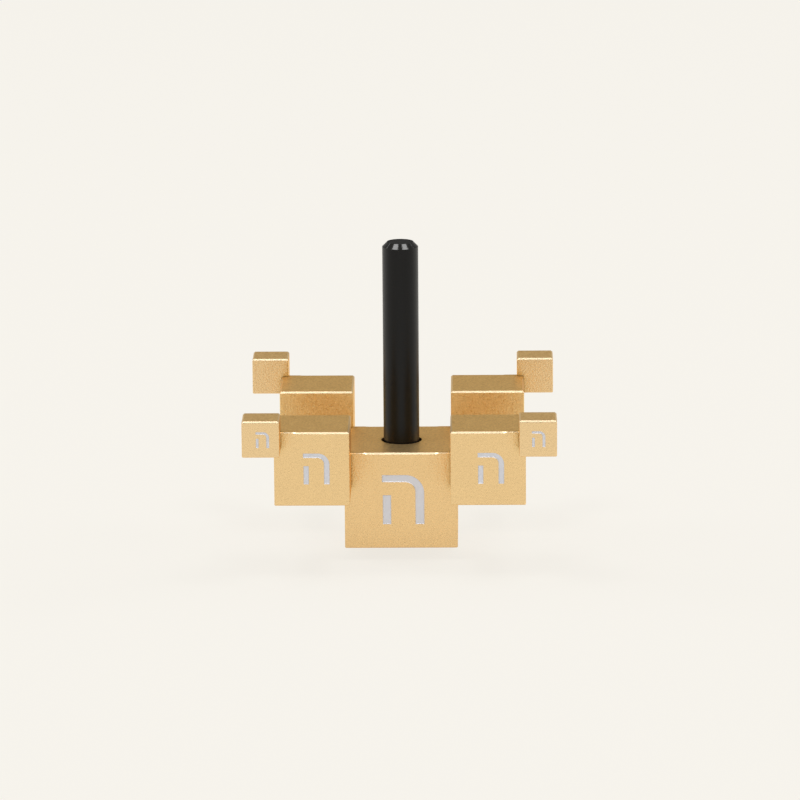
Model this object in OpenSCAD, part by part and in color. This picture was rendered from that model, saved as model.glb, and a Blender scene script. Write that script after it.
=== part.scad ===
// Dreidel of nine stepped cubic blocks round a finger stem, in millimetres.
// The origin is the lowest point of the tip, on the spin axis. +Z is up, -Y is the front.

/* [Central block] */
// Width of the central block, across X and across Y
central_w = 18.2; // [16:0.1:24]
// Height of the central block
central_h = 15.8; // [15:0.1:24]

/* [Medium blocks] */
// Width of a medium block, across X and across Y
medium_w = 12; // [10:0.1:16]
// Height of a medium block
medium_h = 12; // [10:0.1:16]
// How far a medium block's inner faces reach past the central block's side faces
medium_overlap = 1.1; // [1.08:0.01:1.5]
// How far a medium block stands above the central block
medium_rise = 6.1; // [4:0.1:8]

/* [Small blocks] */
// Width of a small block, across X and across Y
small_w = 5.95; // [5:0.05:8]
// Height of a small block
small_h = 5.9; // [5.5:0.05:8]
// How far a small block's inner faces reach past the medium block's side faces
small_overlap = 1.08; // [0.9:0.01:1.4]
// How far a small block stands above the medium block
small_rise = 3; // [2:0.1:3.6]

/* [Edges] */
// Leg of the 45 degree chamfer along the top edges
top_chamfer = 0.28; // [0.2:0.02:0.6]
// Leg of the light break along a top edge between the chamfer's end and a taller neighbour's wall
top_break = 0.1; // [0.05:0.01:0.2]
// Leg of the light break along the upright edges
upright_break = 0.1; // [0.05:0.01:0.2]
// Leg of the light break along the bottom edges
bottom_break = 0.15; // [0.05:0.01:0.3]
// Distance from a taller neighbour's wall at which the chamfering cutter stops
cutter_stop = 2.65; // [2:0.05:3]
// Radius of the chamfering cutter where it meets the side face
cutter_r = 1.3; // [0.4:0.05:1.6]

/* [Stem] */
// Diameter of the stem
stem_d = 5.8; // [5.6:0.1:8]
// Length of stem standing above the central block
stem_out = 32.8; // [20:0.1:45]
// Leg of the chamfer round the stem's free end
stem_top_chamfer = 0.75; // [0.3:0.05:1.2]
// Diameter of the turned-down spigot that is pressed into the central block
spigot_d = 5.2; // [3:0.1:5.4]
// Depth of the spigot's bore in the central block
spigot_depth = 9.5; // [6:0.1:10]
// Leg of the lead chamfer round the spigot's end
spigot_lead = 0.4; // [0.2:0.05:0.8]
// How far the shoulder above the spigot lies below the central block's top
shoulder_inset = 0.1; // [0.05:0.05:0.3]
// Radial gap between the stem and the wall of the ring-shaped recess round its foot
ring_gap = 0.4; // [0.2:0.05:0.8]
// Depth of the ring-shaped recess round the stem's foot
ring_depth = 2; // [0.5:0.1:3]

/* [Tip] */
// Diameter of the steel ball that the top spins on
ball_d = 5; // [4.8:0.1:6]
// How far the ball stands out under the central block
ball_out = 2; // [1.5:0.1:2.3]
// Leg of the countersink round the mouth of the ball's socket
ball_sink = 0.2; // [0.1:0.05:0.4]

/* [Dowels] */
// Diameter of the pins between the central and medium blocks
medium_dowel_d = 1.5; // [1:0.1:1.5]
// Length of the pins between the central and medium blocks
medium_dowel_len = 8; // [5:0.5:10]
// Diameter of the pins between the medium and small blocks
small_dowel_d = 1.2; // [0.8:0.1:1.2]
// Length of the pins between the medium and small blocks
small_dowel_len = 5; // [4:0.5:6]
// Leg of the chamfer at each end of a pin
dowel_lead = 0.15; // [0.05:0.05:0.3]

/* [Fits] */
// Radial clearance of the pressed pins, spigot and ball in their bores
press_gap = 0.01; // [0.005:0.005:0.03]

/* [Hidden] */

$fn = 96;

// Turns about the spin axis, counted from the back right corner
quarter_angle = 90;
back_right_angle = 0;
back_left_angle = quarter_angle;
front_left_angle = 2 * quarter_angle;
front_right_angle = 3 * quarter_angle;
diagonal_angle = quarter_angle / 2;
corner_count = 4;

// A cut's overrun past the face that it opens
overrun = 1;

// Half of the drill point's angle, which the ball's socket ends in
drill_half_angle = 59;

// Heights
central_z = ball_out;
central_top = central_z + central_h;
medium_top = central_top + medium_rise;
medium_z = medium_top - medium_h;
small_top = medium_top + small_rise;
small_z = small_top - small_h;

// Distance of each block's centre from the spin axis, along X and along Y
medium_off = central_w / 2 + medium_w / 2 - medium_overlap;
small_off = medium_off + medium_w / 2 + small_w / 2 - small_overlap;

// Corners that carry the next block out, as distances from the spin axis along X and Y
central_corner = central_w / 2;
medium_corner = medium_off + medium_w / 2;

// The pins lie half way up the height over which two blocks overlap
medium_dowel_z = (medium_z + central_top) / 2;
small_dowel_z = (small_z + medium_top) / 2;

// Ball and its socket: the ball's centre, and the point of the drilled cone that it rests in
ball_r = ball_d / 2;
ball_z = ball_r;
socket_r = ball_r + press_gap;
socket_point_z = ball_z + ball_r / sin(drill_half_angle);
socket_cone_h = socket_r / tan(drill_half_angle);

// Square section with its four corners broken, for a block that stands on z = 0
module block_stock(w, h) {
    intersection() {
        linear_extrude(h) broken_square(w, upright_break);
        side_profile(w, h);
        rotate(quarter_angle) side_profile(w, h);
    }
}

// Square centred on the origin with broken corners
module broken_square(w, leg) {
    half = w / 2;
    flat = half - leg;
    polygon([[half, -flat], [half, flat], [flat, half], [-flat, half],
             [-half, flat], [-half, -flat], [-flat, -half], [flat, -half]]);
}

// Block seen from the front with its two bottom corners broken, run through along Y
module side_profile(w, h) {
    half = w / 2;
    flat = half - bottom_break;
    translate([0, half, 0]) rotate([quarter_angle, 0, 0]) linear_extrude(w)
        polygon([[-flat, 0], [flat, 0], [half, bottom_break], [half, h], [-half, h], [-half, bottom_break]]);
}

// Chamfering cut along the top edge on the -Y side of a block of width w whose top is at z = 0.
// It runs from one x to the other, and past the block's corner where that end isn't stopped.
// Where it is stopped, the light break goes on from there to the neighbour's wall.
module top_cut(w, from_x, to_x, stop_from, stop_to) {
    start = stop_from ? from_x : from_x - overrun;
    end = stop_to ? to_x : to_x + overrun;
    edge_cut(w, start, end, top_chamfer);
    if (stop_from) {
        translate([start, -w / 2, 0]) cutter_cone();
        edge_cut(w, start - cutter_stop, start, top_break);
    }
    if (stop_to) {
        translate([end, -w / 2, 0]) cutter_cone();
        edge_cut(w, end, end + cutter_stop, top_break);
    }
}

// Prism that takes a 45 degree strip with that leg off the top edge on the -Y side, from one x to the other
module edge_cut(w, from_x, to_x, leg) {
    reach = leg + overrun;
    translate([from_x, -w / 2, 0]) rotate([quarter_angle, 0, quarter_angle]) linear_extrude(to_x - from_x)
        polygon([[-overrun, overrun], [-overrun, -reach], [reach, overrun]]);
}

// The cutter's cone where it stops, with its axis just outside the side face
module cutter_cone() {
    depth = top_chamfer + cutter_r;
    translate([0, -cutter_r, -depth]) cylinder(h = depth + overrun, r1 = 0, r2 = depth + overrun);
}

// Pin, or the bore for one, along the diagonal through a corner, half of it in each block
module diagonal_pin(corner, z, len, r, lead) {
    translate([corner, corner, z]) rotate([0, quarter_angle, diagonal_angle])
        translate([0, 0, -len / 2]) {
            translate([0, 0, lead]) cylinder(h = len - 2 * lead, r = r);
            cylinder(h = lead, r1 = r - lead, r2 = r);
            translate([0, 0, len - lead]) cylinder(h = lead, r1 = r, r2 = r - lead);
        }
}

// Space that a block fills, cut out of the next block so that it seats over the corner
module seat_pocket(w, z_from, z_to) {
    translate([-w / 2, -w / 2, z_from]) cube([w, w, z_to - z_from]);
}

// Central block: carries the stem, the ball and the four medium blocks
module central_block() {
    stop_x = central_w / 2 - medium_overlap - cutter_stop;
    color("#d9b876") difference() {
        translate([0, 0, central_z]) block_stock(central_w, central_h);
        for (side = [0 : corner_count - 1]) rotate(side * quarter_angle)
            translate([0, 0, central_top]) top_cut(central_w, -stop_x, stop_x, true, true);
        spigot_bore();
        ball_socket();
        for (corner = [0 : corner_count - 1]) rotate(corner * quarter_angle)
            medium_pin_bore();
    }
}

// Blind bore for the stem's spigot, with a wider recess at its mouth that the stem's foot stands in
module spigot_bore() {
    translate([0, 0, central_top - spigot_depth]) cylinder(h = spigot_depth, r = spigot_d / 2 + press_gap);
    translate([0, 0, central_top - ring_depth]) cylinder(h = ring_depth + overrun, r = stem_d / 2 + ring_gap);
}

// Drilled socket for the ball, countersunk at its mouth, in the underside
module ball_socket() {
    cone_z = socket_point_z - socket_cone_h;
    translate([0, 0, central_z - overrun]) cylinder(h = cone_z - central_z + overrun, r = socket_r);
    translate([0, 0, cone_z]) cylinder(h = socket_cone_h, r1 = socket_r, r2 = 0);
    translate([0, 0, central_z - overrun])
        cylinder(h = ball_sink + overrun, r1 = socket_r + ball_sink + overrun, r2 = socket_r);
}

// Bore that the pin between the central and a medium block is pressed into
module medium_pin_bore() {
    diagonal_pin(central_corner, medium_dowel_z, medium_dowel_len, medium_dowel_d / 2 + press_gap, dowel_lead);
}

// Bore that the pin between a medium and a small block is pressed into
module small_pin_bore() {
    diagonal_pin(medium_corner, small_dowel_z, small_dowel_len, small_dowel_d / 2 + press_gap, dowel_lead);
}

// Medium block: a cube whose lower inner corner is cut out to seat over the central block's corner
module medium_block(corner_angle) {
    half = medium_w / 2;
    stop_x = half - small_overlap - cutter_stop;
    color("#d9b876") rotate(corner_angle) difference() {
        translate([medium_off, medium_off, medium_z]) block_stock(medium_w, medium_h);
        translate([medium_off, medium_off, medium_top]) {
            top_cut(medium_w, -half, half, false, false);
            rotate(-quarter_angle) top_cut(medium_w, -half, half, false, false);
            rotate(quarter_angle) top_cut(medium_w, -half, stop_x, false, true);
            rotate(2 * quarter_angle) top_cut(medium_w, -stop_x, half, true, false);
        }
        seat_pocket(central_w, central_z, central_top);
        medium_pin_bore();
        small_pin_bore();
    }
}

// Small block: a cube whose lower inner corner is cut out to seat over a medium block's corner
module small_block(corner_angle) {
    half = small_w / 2;
    color("#dfc38a") rotate(corner_angle) difference() {
        translate([small_off, small_off, small_z]) block_stock(small_w, small_h);
        for (side = [0 : corner_count - 1])
            translate([small_off, small_off, small_top]) rotate(side * quarter_angle)
                top_cut(small_w, -half, half, false, false);
        translate([medium_off, medium_off, 0]) seat_pocket(medium_w, medium_z, medium_top);
        small_pin_bore();
    }
}

// Stem: a turned rod, held between finger and thumb, with a spigot pressed into the central block
module stem() {
    r = stem_d / 2;
    spigot_r = spigot_d / 2;
    bottom = central_top - spigot_depth;
    shoulder = central_top - shoulder_inset;
    top = central_top + stem_out;
    color("#26282b") rotate_extrude()
        polygon([[0, bottom], [spigot_r - spigot_lead, bottom], [spigot_r, bottom + spigot_lead],
                 [spigot_r, shoulder], [r, shoulder],
                 [r, top - stem_top_chamfer], [r - stem_top_chamfer, top], [0, top]]);
}

// Steel pins between the central and medium blocks
module medium_dowels() {
    color("#b9bcc0") for (corner = [0 : corner_count - 1]) rotate(corner * quarter_angle)
        diagonal_pin(central_corner, medium_dowel_z, medium_dowel_len, medium_dowel_d / 2, dowel_lead);
}

// Steel pins between the medium and small blocks
module small_dowels() {
    color("#b9bcc0") for (corner = [0 : corner_count - 1]) rotate(corner * quarter_angle)
        diagonal_pin(medium_corner, small_dowel_z, small_dowel_len, small_dowel_d / 2, dowel_lead);
}

// Hardened ball pressed into the underside, the point that the top spins on
module tip_ball() {
    color("#c8cbd0") translate([0, 0, ball_z]) sphere(d = ball_d);
}

central_block();
medium_block(front_left_angle);  // medium_block_front_left
medium_block(front_right_angle);  // medium_block_front_right
medium_block(back_left_angle);  // medium_block_back_left
medium_block(back_right_angle);  // medium_block_back_right
small_block(front_left_angle);  // small_block_front_left
small_block(front_right_angle);  // small_block_front_right
small_block(back_left_angle);  // small_block_back_left
small_block(back_right_angle);  // small_block_back_right
stem();
medium_dowels();
small_dowels();
tip_ball();
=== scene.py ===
import math

import bmesh
import bpy
from mathutils import Matrix, Vector


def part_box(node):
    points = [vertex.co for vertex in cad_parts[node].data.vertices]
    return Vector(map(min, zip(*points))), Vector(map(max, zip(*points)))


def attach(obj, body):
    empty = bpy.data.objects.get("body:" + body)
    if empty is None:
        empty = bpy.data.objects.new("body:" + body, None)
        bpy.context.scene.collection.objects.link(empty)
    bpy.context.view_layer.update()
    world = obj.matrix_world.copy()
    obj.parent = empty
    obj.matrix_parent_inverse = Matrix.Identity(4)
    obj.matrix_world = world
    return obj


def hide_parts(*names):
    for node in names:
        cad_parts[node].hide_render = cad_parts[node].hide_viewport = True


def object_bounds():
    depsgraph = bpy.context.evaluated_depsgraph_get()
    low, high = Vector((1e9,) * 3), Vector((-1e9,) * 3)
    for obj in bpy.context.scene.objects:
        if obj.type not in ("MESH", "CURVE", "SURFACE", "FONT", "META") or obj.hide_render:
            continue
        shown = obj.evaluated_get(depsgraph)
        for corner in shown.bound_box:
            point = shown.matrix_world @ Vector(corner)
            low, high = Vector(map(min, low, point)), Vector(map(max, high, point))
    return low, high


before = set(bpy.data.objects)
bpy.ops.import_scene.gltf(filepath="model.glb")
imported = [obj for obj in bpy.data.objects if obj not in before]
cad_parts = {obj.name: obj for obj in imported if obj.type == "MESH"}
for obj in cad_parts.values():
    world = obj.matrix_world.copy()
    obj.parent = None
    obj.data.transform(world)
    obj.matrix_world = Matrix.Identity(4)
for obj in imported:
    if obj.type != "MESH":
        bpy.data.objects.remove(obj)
cad_lowest, cad_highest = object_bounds()

# Central block: a solid cube of aluminium, bead-blasted, chamfered smooth afterwards and anodised gold.
# The stem, the tip ball and the four medium blocks are all pressed into it. Each of its sides has one letter
# of the game, engraved through the anodising down to bare metal.
MM = 0.001
GRAIN_HARSHNESS = 0.75
GRAIN_LOW = 0.3
GRAIN_HIGH = 0.7
POLISH_SPREAD = 0.06
DRIFT_STRETCH = 14
DRIFT_DETAIL = 4.0
DRIFT_SHADE = 0.02


def over_grain(material, grain, middle, spread):
    """A value that runs from middle - spread in the pits to middle + spread between them."""
    value = material.node_tree.nodes.new("ShaderNodeMapRange")
    value.inputs["From Min"].default_value = GRAIN_LOW
    value.inputs["From Max"].default_value = GRAIN_HIGH
    value.inputs["To Min"].default_value = middle - spread
    value.inputs["To Max"].default_value = middle + spread
    material.node_tree.links.new(grain.outputs["Fac"], value.inputs["Value"])
    return value.outputs["Result"]


def metal(name, colour, at_grazing, roughness, grain_width, grain_depth, grain_shade):
    """Metal with fine pits that are darker by grain_shade, and a colour that drifts over the surface.
    at_grazing tints what the metal reflects at a low angle, as a dyed film does."""
    material = bpy.data.materials.new(name)
    material.use_nodes = True
    nodes = material.node_tree.nodes
    links = material.node_tree.links
    surface = nodes["Principled BSDF"]
    surface.inputs["Metallic"].default_value = 1.0
    surface.inputs["Specular Tint"].default_value = (*at_grazing, 1.0)
    place = nodes.new("ShaderNodeTexCoord")

    grain = nodes.new("ShaderNodeTexNoise")
    grain.inputs["Scale"].default_value = 1 / grain_width
    grain.inputs["Roughness"].default_value = GRAIN_HARSHNESS
    links.new(place.outputs["Object"], grain.inputs["Vector"])
    bump = nodes.new("ShaderNodeBump")
    bump.inputs["Distance"].default_value = grain_depth
    links.new(grain.outputs["Fac"], bump.inputs["Height"])
    links.new(bump.outputs["Normal"], surface.inputs["Normal"])

    drift = nodes.new("ShaderNodeTexNoise")
    drift.inputs["Scale"].default_value = 1 / (grain_width * DRIFT_STRETCH)
    drift.inputs["Detail"].default_value = DRIFT_DETAIL
    links.new(place.outputs["Object"], drift.inputs["Vector"])
    tint = nodes.new("ShaderNodeMix")
    tint.data_type = "RGBA"
    tint.inputs["A"].default_value = (*[(1 - DRIFT_SHADE) * c for c in colour], 1.0)
    tint.inputs["B"].default_value = (*[(1 + DRIFT_SHADE) * c for c in colour], 1.0)
    links.new(drift.outputs["Fac"], tint.inputs["Factor"])
    speckled = nodes.new("ShaderNodeVectorMath")
    speckled.operation = "SCALE"
    links.new(tint.outputs["Result"], speckled.inputs[0])
    links.new(over_grain(material, grain, 1, grain_shade), speckled.inputs["Scale"])
    links.new(speckled.outputs["Vector"], surface.inputs["Base Color"])
    links.new(over_grain(material, grain, roughness, POLISH_SPREAD), surface.inputs["Roughness"])
    return material


# Painted shade in the seams between blocks: how far the test reaches, and the darkening in and beside a seam.
SEAM_REACH = 1.2 * MM
SEAM_START = 0.5
SEAM_END = 0.56
PAINTED_SEAM_SHADE = (0.46, 0.46, 0.38)
PAINTED_SHADE_BESIDE_SEAM = (0.86, 0.87, 0.80)
SEAM_RAYS = 12


def paint_seam_shade(material):
    """Paints shade into a metal's colour where another piece stands close over it: an ambient-occlusion test
    darkens the colour in the seam and a little less in the strip beside it."""
    nodes = material.node_tree.nodes
    links = material.node_tree.links
    colour = nodes["Principled BSDF"].inputs["Base Color"]
    open_colour = colour.links[0].from_socket
    openness = nodes.new("ShaderNodeAmbientOcclusion")
    openness.samples = SEAM_RAYS
    openness.inputs["Distance"].default_value = SEAM_REACH
    seam = nodes.new("ShaderNodeValToRGB")
    seam.color_ramp.elements[0].position = SEAM_START
    seam.color_ramp.elements[0].color = (*PAINTED_SEAM_SHADE, 1.0)
    seam.color_ramp.elements.new(SEAM_END).color = (*PAINTED_SHADE_BESIDE_SEAM, 1.0)
    links.new(openness.outputs["AO"], seam.inputs["Fac"])
    seam_shaded = nodes.new("ShaderNodeVectorMath")
    seam_shaded.operation = "MULTIPLY"
    links.new(open_colour, seam_shaded.inputs[0])
    links.new(seam.outputs["Color"], seam_shaded.inputs[1])
    links.new(seam_shaded.outputs["Vector"], colour)


# The top golds are lighter than the side golds as painted light on the upward faces.
GOLD = (0.89, 0.622, 0.31)
TOP_GOLD_PAINTED_LIGHTER = (0.93, 0.66, 0.325)
GOLD_AT_GRAZING = (0.95, 0.67, 0.34)
GOLD_ROUGHNESS = 0.29
TOP_ROUGHNESS = 0.42
PIT_WIDTH = 0.3 * MM
PIT_DEPTH = 0.055 * MM
PIT_SHADE = 0.06
TOP_PIT_DEPTH = 0.03 * MM
TOP_PIT_SHADE = 0.2


def blasted(name, side_gold, painted_lighter_top_gold, roughness, pit_shade):
    """Blasted metal under dyed anodising, for a block's sides, and the same for its top, which lay
    square under the nozzle and is duller, with darker and shallower pits, and whose gold is painted lighter.
    Both get painted shade in their seams."""
    sides = metal(name, side_gold, GOLD_AT_GRAZING, roughness, PIT_WIDTH, PIT_DEPTH, pit_shade)
    top = metal(
        name + "_top", painted_lighter_top_gold, GOLD_AT_GRAZING, TOP_ROUGHNESS, PIT_WIDTH, TOP_PIT_DEPTH, TOP_PIT_SHADE)
    for material in (sides, top):
        paint_seam_shade(material)
    return sides, top


# The chamfers' gold is paler than the sides': partly their own cut finish, partly painted sheen that
# brightens the chamfer lines.
CUT_GOLD_AND_SHEEN = (0.95, 0.76, 0.50)
CUT_AT_GRAZING = (1.0, 0.8, 0.5)
CUT_ROUGHNESS = 0.36
TOOL_MARK_WIDTH = 0.2 * MM
TOOL_MARK_DEPTH = 0.003 * MM
TOOL_MARK_SHADE = 0.03
BARE_METAL = (0.79, 0.80, 0.86)
BARE_AT_GRAZING = (1.0, 1.0, 1.0)
BARE_ROUGHNESS = 0.55
FROST_WIDTH = 0.15 * MM
FROST_DEPTH = 0.02 * MM
FROST_SHADE = 0.03
blasted_gold = blasted("blasted_gold", GOLD, TOP_GOLD_PAINTED_LIGHTER, GOLD_ROUGHNESS, PIT_SHADE)
cut_gold_and_sheen = metal(
    "cut_gold_and_sheen", CUT_GOLD_AND_SHEEN, CUT_AT_GRAZING, CUT_ROUGHNESS, TOOL_MARK_WIDTH, TOOL_MARK_DEPTH, TOOL_MARK_SHADE)
engraved_bare = metal(
    "engraved_bare", BARE_METAL, BARE_AT_GRAZING, BARE_ROUGHNESS, FROST_WIDTH, FROST_DEPTH, FROST_SHADE)

LETTER_HEIGHT = 8.15 * MM
HEI_WIDTH = 6.8 * MM
GIMEL_WIDTH = 4.6 * MM
NUN_WIDTH = 4.4 * MM
SHIN_WIDTH = 8.0 * MM
BAR = 1.16 * MM
LEG = 1.42 * MM
BEND_OUTSIDE = 3.0 * MM
BEND_INSIDE = 1.7 * MM
BEND_STEPS = 12
SHORT_LEG = 4.82 * MM
SHORT_LEG_WIDTH = 1.34 * MM
SHORT_LEG_START = 0.12 * MM
HEAD_START = 0.9 * MM
FOOT_RISE = 1.6 * MM


def arc(centre, radius, from_degrees, to_degrees):
    """Points on an arc, both ends included."""
    turn = [from_degrees + (to_degrees - from_degrees) * i / BEND_STEPS for i in range(BEND_STEPS + 1)]
    return [(centre[0] + radius * math.cos(math.radians(t)), centre[1] + radius * math.sin(math.radians(t)))
            for t in turn]


def bend_outside(width):
    """The outside of the rounded turn from a letter's top bar into its right leg."""
    return arc((width - BEND_OUTSIDE, LETTER_HEIGHT - BEND_OUTSIDE), BEND_OUTSIDE, 90, 0)


def bend_inside(width):
    """The inside of the same turn, back from the leg to the bar."""
    return arc((width - LEG - BEND_INSIDE, LETTER_HEIGHT - BAR - BEND_INSIDE), BEND_INSIDE, 0, 90)


def hei():
    """Bar and right leg in one stroke, and a short left leg that stands apart."""
    hook = [(0, LETTER_HEIGHT), *bend_outside(HEI_WIDTH), (HEI_WIDTH, 0), (HEI_WIDTH - LEG, 0),
            *bend_inside(HEI_WIDTH), (0, LETTER_HEIGHT - BAR)]
    left = SHORT_LEG_START
    right = SHORT_LEG_START + SHORT_LEG_WIDTH
    short_leg = [(left, SHORT_LEG), (right, SHORT_LEG), (right, 0), (left, 0)]
    return HEI_WIDTH, [hook, short_leg]


def gimel():
    """A short head, a straight right leg and a foot that slants out to the left."""
    leg_left = GIMEL_WIDTH - LEG
    return GIMEL_WIDTH, [[
        (HEAD_START, LETTER_HEIGHT), *bend_outside(GIMEL_WIDTH), (GIMEL_WIDTH, 0), (leg_left, 0),
        (leg_left, FOOT_RISE), (LEG, 0), (0, 0), (leg_left, 2 * FOOT_RISE),
        *bend_inside(GIMEL_WIDTH), (HEAD_START, LETTER_HEIGHT - BAR)]]


def nun():
    """A short head, a right leg and a longer bar along the bottom."""
    return NUN_WIDTH, [[
        (HEAD_START, LETTER_HEIGHT), *bend_outside(NUN_WIDTH), (NUN_WIDTH, 0), (0, 0), (0, BAR),
        (NUN_WIDTH - LEG, BAR), *bend_inside(NUN_WIDTH), (HEAD_START, LETTER_HEIGHT - BAR)]]


def shin():
    """Three legs that stand on one bar, which turns up into the left leg in a round bend."""
    middle_left = (SHIN_WIDTH - LEG) / 2
    middle_right = (SHIN_WIDTH + LEG) / 2
    return SHIN_WIDTH, [[
        (0, LETTER_HEIGHT), *arc((BEND_OUTSIDE, BEND_OUTSIDE), BEND_OUTSIDE, 180, 270), (SHIN_WIDTH, 0),
        (SHIN_WIDTH, LETTER_HEIGHT), (SHIN_WIDTH - LEG, LETTER_HEIGHT), (SHIN_WIDTH - LEG, BAR),
        (middle_right, BAR), (middle_right, LETTER_HEIGHT), (middle_left, LETTER_HEIGHT), (middle_left, BAR),
        *arc((LEG + BEND_INSIDE, BAR + BEND_INSIDE), BEND_INSIDE, 270, 180), (LEG, LETTER_HEIGHT)]]


def drawn_in(outline, distance):
    """The outline with every side moved inwards by distance."""
    turns = 0
    for (ax, az), (bx, bz) in zip(outline, outline[1:] + outline[:1]):
        turns += ax * bz - bx * az
    inward = distance if turns > 0 else -distance
    moved = []
    for i, here in enumerate(outline):
        before = Vector(outline[i - 1])
        after = Vector(outline[(i + 1) % len(outline)])
        side_in = (Vector(here) - before).normalized()
        side_out = (after - Vector(here)).normalized()
        mitre = Vector((-side_in.y - side_out.y, side_in.x + side_out.x)) / (1 + side_in.dot(side_out))
        moved.append(Vector(here) + inward * mitre)
    return moved


LETTER_DEPTH = 0.1 * MM
DEPTH_PER_BAR = 0.2
CUTTER_OVERRUN = 0.5 * MM


def letter_cutter(letter, scale, shift, rise, face_middle, side):
    """Prisms of a letter's strokes, with sloping walls below the face, turned to stand in a block's side."""
    width, strokes = letter()
    left = shift - scale * width / 2
    bottom = rise - scale * LETTER_HEIGHT / 2
    depth = min(LETTER_DEPTH, DEPTH_PER_BAR * BAR * scale)
    solid = bmesh.new()
    for stroke in strokes:
        outline = [(left + scale * x, bottom + scale * z) for x, z in stroke]
        floor_ring = [solid.verts.new((x, depth, z)) for x, z in drawn_in(outline, depth)]
        face_ring = [solid.verts.new((x, 0, z)) for x, z in outline]
        top_ring = [solid.verts.new((x, -CUTTER_OVERRUN, z)) for x, z in outline]
        solid.faces.new(floor_ring)
        solid.faces.new(reversed(top_ring))
        for lower, upper in ((floor_ring, face_ring), (face_ring, top_ring)):
            for i in range(len(outline)):
                j = (i + 1) % len(outline)
                solid.faces.new((lower[j], lower[i], upper[i], upper[j]))
    bmesh.ops.recalc_face_normals(solid, faces=solid.faces)
    mesh = bpy.data.meshes.new("letter_cutter")
    solid.to_mesh(mesh)
    solid.free()
    mesh.materials.append(engraved_bare)
    mesh.transform(Matrix.Rotation(math.radians(side), 4, "Z") @ Matrix.Translation(face_middle))
    return bpy.data.objects.new("letter_cutter", mesh)


LETTER_OF_SIDE = {0: hei, 90: gimel, 180: nun, 270: shin}
AXIS_SLACK = 0.5 * MM


def letter_faces(node):
    """The block's outward sides, and the middle of each one as seen when it is turned to the front."""
    lowest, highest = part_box(node)
    middle = (lowest + highest) / 2
    half_width = (highest.x - lowest.x) / 2
    found = []
    for side in LETTER_OF_SIDE:
        turned = Matrix.Rotation(math.radians(-side), 3, "Z") @ middle
        if turned.y < AXIS_SLACK:
            found.append((side, Vector((turned.x, turned.y - half_width, middle.z))))
    return found


WELD_DISTANCE = 0.001 * MM
FLAT_DEGREES = 0.5
EDGE_ROUNDING = 0.06 * MM
EDGE_STEPS = 2
EDGE_DEGREES = 25
CHAMFER_LEAN = 0.3
TOP_LEAN = 0.97


def lettered_block(node, gold, letter_scale, letter_shift, letter_rise, letter_lean=0.0):
    """The piece that stands for a block's solid: the same faces with the letters cut in and the edges eased.
    letter_lean moves the letters of an outer block towards the middle of the top."""
    solid = bmesh.new()
    solid.from_mesh(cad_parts[node].data)
    bmesh.ops.remove_doubles(solid, verts=solid.verts, dist=WELD_DISTANCE)
    bmesh.ops.dissolve_limit(
        solid, angle_limit=math.radians(FLAT_DEGREES), verts=solid.verts, edges=solid.edges)
    corners = [v.co.copy() for v in solid.verts]
    faces = [[v.index for v in f.verts] for f in solid.faces]
    solid.free()
    mesh = bpy.data.meshes.new(node + "_shell")
    mesh.from_pydata(corners, [], faces)
    side_gold, painted_lighter_top_gold = gold
    mesh.materials.append(side_gold)
    block = bpy.data.objects.new(node + "_shell", mesh)
    bpy.context.scene.collection.objects.link(block)
    ease = block.modifiers.new("eased_edges", "BEVEL")
    ease.width = EDGE_ROUNDING
    ease.segments = EDGE_STEPS
    ease.limit_method = "ANGLE"
    ease.angle_limit = math.radians(EDGE_DEGREES)
    cutters = []
    for side, face_middle in letter_faces(node):
        shift = letter_shift - math.copysign(letter_lean, face_middle.x)
        cutter = letter_cutter(LETTER_OF_SIDE[side], letter_scale, shift, letter_rise, face_middle, side)
        bpy.context.scene.collection.objects.link(cutter)
        cut = block.modifiers.new("letter", "BOOLEAN")
        cut.object = cutter
        cut.operation = "DIFFERENCE"
        cut.solver = "EXACT"
        cut.material_mode = "TRANSFER"
        cutters.append(cutter)
    shown = block.evaluated_get(bpy.context.evaluated_depsgraph_get())
    block.data = bpy.data.meshes.new_from_object(shown)
    block.modifiers.clear()
    for cutter in cutters:
        bpy.data.objects.remove(cutter)
    # Faces leaning upward get the chamfers' paler gold, which is partly painted sheen.
    cut_slot = len(block.data.materials)
    top_slot = cut_slot + 1
    block.data.materials.append(cut_gold_and_sheen)
    block.data.materials.append(painted_lighter_top_gold)
    # Flat upward faces get the top gold, which is painted lighter than the sides.
    for face in block.data.polygons:
        if face.material_index == 0 and face.normal.z > TOP_LEAN:
            face.material_index = top_slot
        elif face.material_index == 0 and face.normal.z > CHAMFER_LEAN:
            face.material_index = cut_slot
    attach(block, "root")
    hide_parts(node)


CENTRAL_LETTER_SCALE = 1.0
CENTRAL_LETTER_SHIFT = 0.33 * MM
CENTRAL_LETTER_RISE = 0.15 * MM
lettered_block(
    "central_block", blasted_gold, CENTRAL_LETTER_SCALE, CENTRAL_LETTER_SHIFT, CENTRAL_LETTER_RISE)

# Dowel pins: ground steel pins, four from the central block into the medium blocks and four from those
# into the small blocks. They are pressed in and don't show once the blocks are together.
PIN_STEEL = (0.60, 0.60, 0.62)
STEEL_AT_GRAZING = (1.0, 1.0, 1.0)
PIN_ROUGHNESS = 0.18
SCRATCH_WIDTH = 0.3 * MM
SCRATCH_DEPTH = 0.001 * MM
SCRATCH_SHADE = 0.02
ground_steel = metal(
    "ground_steel", PIN_STEEL, STEEL_AT_GRAZING, PIN_ROUGHNESS, SCRATCH_WIDTH, SCRATCH_DEPTH, SCRATCH_SHADE)


def finish_node(node, material):
    """Gives a solid of the frame its finish."""
    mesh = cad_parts[node].data
    mesh.materials.clear()
    mesh.materials.append(material)


for pins in ("medium_dowels", "small_dowels"):
    finish_node(pins, ground_steel)
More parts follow.
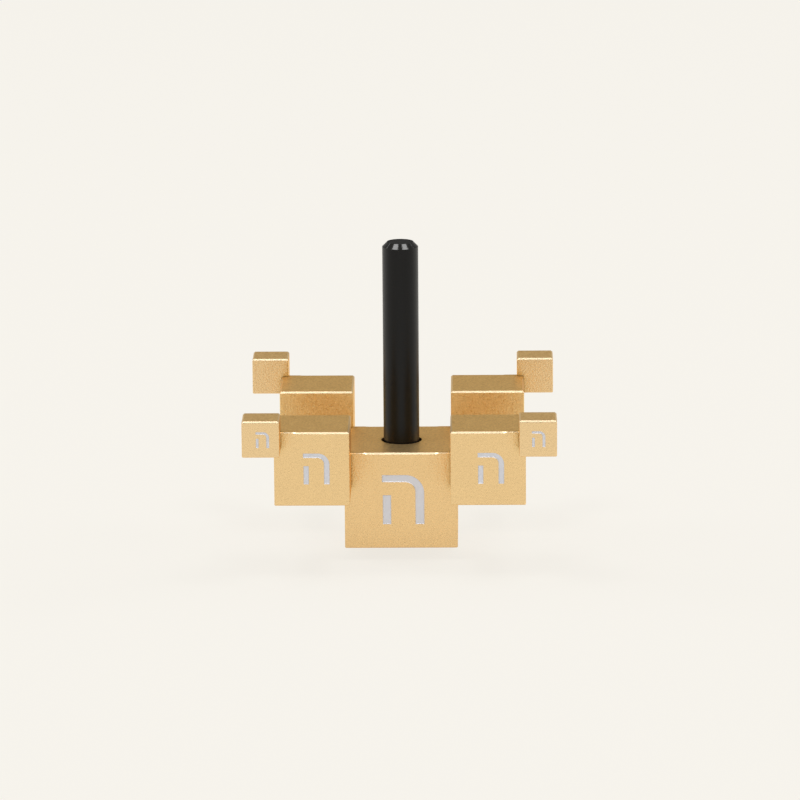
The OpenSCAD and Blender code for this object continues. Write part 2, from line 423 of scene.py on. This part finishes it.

# Medium blocks: four cubes two thirds as wide as the central one, each seated over one of its upper corners.
# They are blasted and dyed apart from it. The back pair is a little rougher with darker pits, and its side
# gold is tinted yellower as painted reflection of the gold blocks around it. The letter of each side is on
# the two faces that look outward.
MEDIUM_GOLD = (0.895, 0.64, 0.325)
MEDIUM_TOP_GOLD_PAINTED_LIGHTER = (0.92, 0.665, 0.325)
# Painted reflection: the back pair's side gold is yellower, for the gold light the blocks around it throw
# back.
MEDIUM_BACK_GOLD_WITH_PAINTED_BOUNCE = (0.905, 0.657, 0.314)
MEDIUM_BACK_ROUGHNESS = 0.32
MEDIUM_BACK_PIT_SHADE = 0.11
MEDIUM_LETTER_SCALE = 0.618
MEDIUM_LETTER_SHIFT = 0.58 * MM
MEDIUM_LETTER_RISE = 0.05 * MM
MEDIUM_LETTER_LEAN = 0.14 * MM
medium_golds = {
    "front": blasted("blasted_medium_gold", MEDIUM_GOLD, MEDIUM_TOP_GOLD_PAINTED_LIGHTER, GOLD_ROUGHNESS, PIT_SHADE),
    "back": blasted(
        "blasted_medium_back_gold_with_painted_bounce", MEDIUM_BACK_GOLD_WITH_PAINTED_BOUNCE, MEDIUM_TOP_GOLD_PAINTED_LIGHTER, MEDIUM_BACK_ROUGHNESS,
        MEDIUM_BACK_PIT_SHADE)}
for pair in ("front", "back"):
    for hand in ("left", "right"):
        lettered_block(
            f"medium_block_{pair}_{hand}", medium_golds[pair], MEDIUM_LETTER_SCALE,
            MEDIUM_LETTER_SHIFT, MEDIUM_LETTER_RISE, MEDIUM_LETTER_LEAN)

# Small blocks: four cubes a third as wide as the central one, seated over the medium blocks' outer corners.
# They are finished like the medium blocks, with the same letters cut smaller.
SMALL_GOLD = (0.893, 0.653, 0.355)
SMALL_TOP_GOLD_PAINTED_LIGHTER = (0.935, 0.70, 0.38)
SMALL_LETTER_SCALE = 0.313
SMALL_LETTER_SHIFT = 0.19 * MM
SMALL_LETTER_RISE = -0.06 * MM
SMALL_LETTER_LEAN = 0.12 * MM
blasted_small_gold = blasted("blasted_small_gold", SMALL_GOLD, SMALL_TOP_GOLD_PAINTED_LIGHTER, GOLD_ROUGHNESS, PIT_SHADE)
for pair in ("front", "back"):
    for hand in ("left", "right"):
        lettered_block(
            f"small_block_{pair}_{hand}", blasted_small_gold, SMALL_LETTER_SCALE,
            SMALL_LETTER_SHIFT, SMALL_LETTER_RISE, SMALL_LETTER_LEAN)

# Tip: a polished steel ball that the top spins on, pressed into a socket in the central block's underside,
# so that two fifths of it stand out. It has the finish of the pins.
finish_node("tip_ball", ground_steel)

# Stem: a straight aluminium rod, turned and anodised black to a satin finish. Its end is dull, and the
# chamfer round the end has worn shinier than the rest. The rod is pressed into the central block and spun
# between the fingers.
BLACK = (0.0012, 0.0012, 0.0014)
BLACK_FADED = (0.0028, 0.0028, 0.0030)
FILM_IOR = 1.34
BLACK_ROUGHNESS = 0.34
RING_PITCH = 0.25 * MM
RING_STRETCH = 0.02
RING_DEPTH = 0.003 * MM
RING_ROUGHNESS = 0.05
WORN_GREY = (0.05, 0.05, 0.05)
WORN_ROUGHNESS = 0.13
WORN_FROM = 0.45
WORN_FULL = 0.55
WORN_LESS = 0.85
WORN_NO_MORE = 0.95
NOT_WORN = (0.0, 0.0, 0.0, 1.0)
END_LEAN = 0.97
END_ROUGHNESS = 0.7
satin_black = bpy.data.materials.new("satin_black")
satin_black.use_nodes = True
black_nodes = satin_black.node_tree.nodes
black_links = satin_black.node_tree.links
film = black_nodes["Principled BSDF"]
film.inputs["IOR"].default_value = FILM_IOR
black_place = black_nodes.new("ShaderNodeTexCoord")
wrap = black_nodes.new("ShaderNodeMapping")
wrap.inputs["Scale"].default_value = (RING_STRETCH, RING_STRETCH, 1.0)
black_links.new(black_place.outputs["Object"], wrap.inputs["Vector"])
rings = black_nodes.new("ShaderNodeTexNoise")
rings.inputs["Scale"].default_value = 1 / RING_PITCH
black_links.new(wrap.outputs["Vector"], rings.inputs["Vector"])
ring_bump = black_nodes.new("ShaderNodeBump")
ring_bump.inputs["Distance"].default_value = RING_DEPTH
black_links.new(rings.outputs["Fac"], ring_bump.inputs["Height"])
black_links.new(ring_bump.outputs["Normal"], film.inputs["Normal"])

lean = black_nodes.new("ShaderNodeSeparateXYZ")
black_links.new(black_place.outputs["Normal"], lean.inputs["Vector"])
worn = black_nodes.new("ShaderNodeValToRGB")
worn.color_ramp.elements[0].position = WORN_FROM
worn.color_ramp.elements[1].position = WORN_FULL
worn.color_ramp.elements.new(WORN_LESS)
worn.color_ramp.elements.new(WORN_NO_MORE).color = NOT_WORN
black_links.new(lean.outputs["Z"], worn.inputs["Fac"])
black_links.new(worn.outputs["Color"], film.inputs["Metallic"])

dye = black_nodes.new("ShaderNodeMix")
dye.data_type = "RGBA"
dye.inputs["A"].default_value = (*BLACK, 1.0)
dye.inputs["B"].default_value = (*BLACK_FADED, 1.0)
black_links.new(rings.outputs["Fac"], dye.inputs["Factor"])
black_colour = black_nodes.new("ShaderNodeMix")
black_colour.data_type = "RGBA"
black_colour.inputs["B"].default_value = (*WORN_GREY, 1.0)
black_links.new(worn.outputs["Color"], black_colour.inputs["Factor"])
black_links.new(dye.outputs["Result"], black_colour.inputs["A"])
black_links.new(black_colour.outputs["Result"], film.inputs["Base Color"])

satin = black_nodes.new("ShaderNodeMapRange")
satin.inputs["To Min"].default_value = BLACK_ROUGHNESS - RING_ROUGHNESS
satin.inputs["To Max"].default_value = BLACK_ROUGHNESS + RING_ROUGHNESS
black_links.new(rings.outputs["Fac"], satin.inputs["Value"])
gloss = black_nodes.new("ShaderNodeMix")
gloss.inputs["B"].default_value = WORN_ROUGHNESS
black_links.new(worn.outputs["Color"], gloss.inputs["Factor"])
black_links.new(satin.outputs["Result"], gloss.inputs["A"])
end_face = black_nodes.new("ShaderNodeMath")
end_face.operation = "GREATER_THAN"
end_face.inputs[1].default_value = END_LEAN
black_links.new(lean.outputs["Z"], end_face.inputs[0])
end_gloss = black_nodes.new("ShaderNodeMix")
end_gloss.inputs["B"].default_value = END_ROUGHNESS
black_links.new(end_face.outputs["Value"], end_gloss.inputs["Factor"])
black_links.new(gloss.outputs["Result"], end_gloss.inputs["A"])
black_links.new(end_gloss.outputs["Result"], film.inputs["Roughness"])
finish_node("stem", satin_black)

# Floor: a wide sheet of plain pale paper that runs out of every view.
# The camera and the metal see its own pale colour, with part of the light's play on it for the shadow,
# and that part is larger in the metal, which stands in the shadow itself.
PAPER = (0.922, 0.896, 0.839)
FLOOR_HALF = 8.0
SHADOW_SHARE = 0.15
MIRRORED_SHADOW_SHARE = 0.5
floor_mesh = bpy.data.meshes.new("floor")
floor_mesh.from_pydata(
    [(-FLOOR_HALF, -FLOOR_HALF, 0), (FLOOR_HALF, -FLOOR_HALF, 0),
     (FLOOR_HALF, FLOOR_HALF, 0), (-FLOOR_HALF, FLOOR_HALF, 0)], [], [(0, 1, 2, 3)])
floor = bpy.data.objects.new("floor", floor_mesh)
bpy.context.scene.collection.objects.link(floor)
paper = bpy.data.materials.new("pale_paper")
paper.use_nodes = True
paper_nodes = paper.node_tree.nodes
paper_links = paper.node_tree.links
paper_nodes.remove(paper_nodes["Principled BSDF"])
matt = paper_nodes.new("ShaderNodeBsdfDiffuse")
matt.inputs["Color"].default_value = (*PAPER, 1.0)
glow = paper_nodes.new("ShaderNodeEmission")
glow.inputs["Color"].default_value = (*PAPER, 1.0)
ray = paper_nodes.new("ShaderNodeLightPath")
seen = paper_nodes.new("ShaderNodeMath")
seen.operation = "MULTIPLY"
seen.inputs[1].default_value = 1 - SHADOW_SHARE
paper_links.new(ray.outputs["Is Camera Ray"], seen.inputs[0])
mirrored = paper_nodes.new("ShaderNodeMath")
mirrored.operation = "MAXIMUM"
paper_links.new(ray.outputs["Is Glossy Ray"], mirrored.inputs[0])
paper_links.new(ray.outputs["Is Transmission Ray"], mirrored.inputs[1])
mirrored_share = paper_nodes.new("ShaderNodeMath")
mirrored_share.operation = "MULTIPLY"
mirrored_share.inputs[1].default_value = 1 - MIRRORED_SHADOW_SHARE
paper_links.new(mirrored.outputs[0], mirrored_share.inputs[0])
share = paper_nodes.new("ShaderNodeMath")
share.operation = "MAXIMUM"
paper_links.new(seen.outputs[0], share.inputs[0])
paper_links.new(mirrored_share.outputs[0], share.inputs[1])
blend = paper_nodes.new("ShaderNodeMixShader")
paper_links.new(share.outputs[0], blend.inputs["Fac"])
paper_links.new(matt.outputs["BSDF"], blend.inputs[1])
paper_links.new(glow.outputs["Emission"], blend.inputs[2])
paper_links.new(blend.outputs["Shader"], paper_nodes["Material Output"].inputs["Surface"])
floor_mesh.materials.append(paper)

# Lamps: two big soft boxes overhead, a weak box behind the camera and a tall strip box on each side, a little
# behind the top, in an even grey room.
ROOM = (0.405, 0.395, 0.376)
world = bpy.data.worlds.new("grey_room")
world.use_nodes = True
world.node_tree.nodes["Background"].inputs["Color"].default_value = (*ROOM, 1.0)
bpy.context.scene.world = world
OBJECT_MIDDLE = (cad_lowest + cad_highest) / 2


def soft_box(name, place, width, height, radiance):
    """A flat lamp that faces the object and looks evenly bright from there, by radiance."""
    lamp = bpy.data.lights.new(name, "AREA")
    lamp.shape = "RECTANGLE"
    lamp.size = width
    lamp.size_y = height
    lamp.energy = radiance * math.pi * width * height
    stand = bpy.data.objects.new(name, lamp)
    stand.location = place
    stand.rotation_mode = "QUATERNION"
    stand.rotation_quaternion = (OBJECT_MIDDLE - Vector(place)).to_track_quat("-Z", "Y")
    bpy.context.scene.collection.objects.link(stand)


BOX_OUT = 0.76
BOX_FORWARD = 0.3
BOX_UP = 2.0
BOX_SIDE = 0.76
BOX_RADIANCE = 6.3
for hand in (-1, 1):
    soft_box("soft_box", (hand * BOX_OUT, -BOX_FORWARD, BOX_UP), BOX_SIDE, BOX_SIDE, BOX_RADIANCE)
FILL_FORWARD = 2.6
FILL_UP = 0.8
FILL_SIDE = 1.4
FILL_RADIANCE = 0.52
soft_box("fill_box", (0, -FILL_FORWARD, FILL_UP), FILL_SIDE, FILL_SIDE, FILL_RADIANCE)
STRIP_OUT = 1.52
STRIP_BACK = 0.49
STRIP_UP = 0.6
STRIP_WIDTH = 0.8
STRIP_HEIGHT = 1.4
STRIP_RADIANCE = 2.4
for hand in (-1, 1):
    soft_box(
        "strip_box", (hand * STRIP_OUT, STRIP_BACK, STRIP_UP), STRIP_WIDTH, STRIP_HEIGHT, STRIP_RADIANCE)

# Camera: a long lens in front of the top and nearly fourteen degrees above it. It stands a hair to the right
# of the middle and is rolled by less than half a degree.
BLOCK_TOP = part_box("central_block")[1].z
CAMERA_DISTANCE = 0.871
CAMERA_ELEVATION = 0.24162
CAMERA_TO_RIGHT = 0.01438
CAMERA_ROLL = 0.00729
AIM_LEFT = 0.20 * MM
AIM_UP = 6.58 * MM
SENSOR_WIDTH = 36.0
LENS = 241.38
FAR_END = 50
lens = bpy.data.cameras.new("camera")
lens.sensor_width = SENSOR_WIDTH
lens.lens = LENS
lens.clip_end = FAR_END
camera = bpy.data.objects.new("camera", lens)
bpy.context.scene.collection.objects.link(camera)
back = Vector((math.sin(CAMERA_TO_RIGHT) * math.cos(CAMERA_ELEVATION),
               -math.cos(CAMERA_TO_RIGHT) * math.cos(CAMERA_ELEVATION), math.sin(CAMERA_ELEVATION)))
camera.location = Vector((0, 0, BLOCK_TOP)) + back * CAMERA_DISTANCE
aim = Vector((-AIM_LEFT, 0, BLOCK_TOP + AIM_UP))
camera.rotation_mode = "QUATERNION"
level = (aim - camera.location).to_track_quat("-Z", "Y").to_matrix()
camera.rotation_quaternion = (level @ Matrix.Rotation(-CAMERA_ROLL, 3, "Z")).to_quaternion()
bpy.context.scene.camera = camera
bpy.context.scene.view_settings.view_transform = "Standard"
